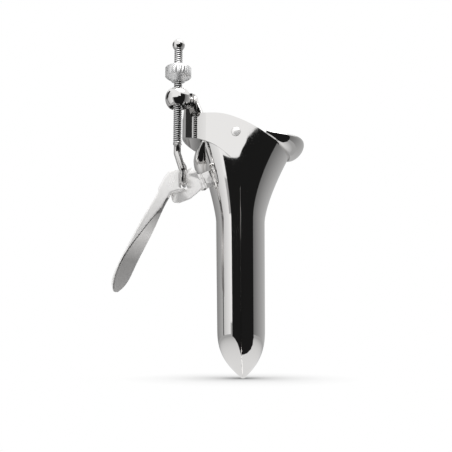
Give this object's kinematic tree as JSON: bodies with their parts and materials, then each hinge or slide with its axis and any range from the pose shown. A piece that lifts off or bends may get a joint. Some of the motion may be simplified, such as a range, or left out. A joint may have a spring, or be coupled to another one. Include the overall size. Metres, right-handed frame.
{
  "type": "bivalve speculum",
  "caption": "Two-blade rectal speculum with a band yoke, side thumb lever and a screw lock with swivel ball and knurled nut.",
  "frame": {"origin": "tip of the closed blades, on the plane where they part", "axes": "+Z from the tip up to the screw, +X away from the thumb lever, +Y away from the screw side"},
  "size_m": [0.0866, 0.0421, 0.1549],
  "materials": {
    "polished_steel": "mirror polished stainless steel",
    "satin_steel": "fine satin brushed stainless steel",
    "turned_steel": "turned, threaded and knurled stainless steel"
  },
  "bodies": {
    "frame": {"fixed_blade": "polished_steel", "near_hinge_rivet": "polished_steel", "near_hinge_washer": "polished_steel", "far_hinge_rivet": "polished_steel", "far_hinge_washer": "polished_steel", "stem_washer": "turned_steel"},
    "mobile": {"mobile_blade": "polished_steel", "hinge_bracket": "satin_steel", "folding_hinge_pin": "turned_steel", "lever_plate": "satin_steel", "thumb_lever": "satin_steel", "lever_rivets": "satin_steel"},
    "screw": {"threaded_rod": "turned_steel", "rod_stop_ball": "polished_steel"},
    "nut": {"knurled_nut": "turned_steel"},
    "ball": {"swivel_ball": "polished_steel", "stem_collar": "turned_steel"}
  },
  "joints": [
    {"name": "blade_hinge", "type": "hinge", "parent": "frame", "child": "mobile", "pos_m": [-0.0017, 0, 0.1088], "axis": [0, 1, 0], "range_deg": [0, 25]},
    {"name": "screw_hook", "type": "hinge", "parent": "mobile", "child": "screw", "pos_m": [-0.026, -0.0125, 0.0864], "axis": [0, 1, 0], "range_deg": [-11.5, 0.5]},
    {"name": "ball_swivel", "type": "hinge", "parent": "frame", "child": "ball", "pos_m": [-0.0284, -0.0166, 0.1257], "axis": [0.6907, 0.7231, 0], "range_deg": [-0.5, 11.5]},
    {"name": "nut_travel", "type": "slide", "parent": "screw", "child": "nut", "axis": [0, 0, 1], "range_m": [-0.0035, 0.0075]}
  ],
  "couplings": [
    {"joint": "screw_hook", "follows": "blade_hinge", "ratio": -0.439},
    {"joint": "ball_swivel", "follows": "blade_hinge", "ratio": 0.41}
  ]
}
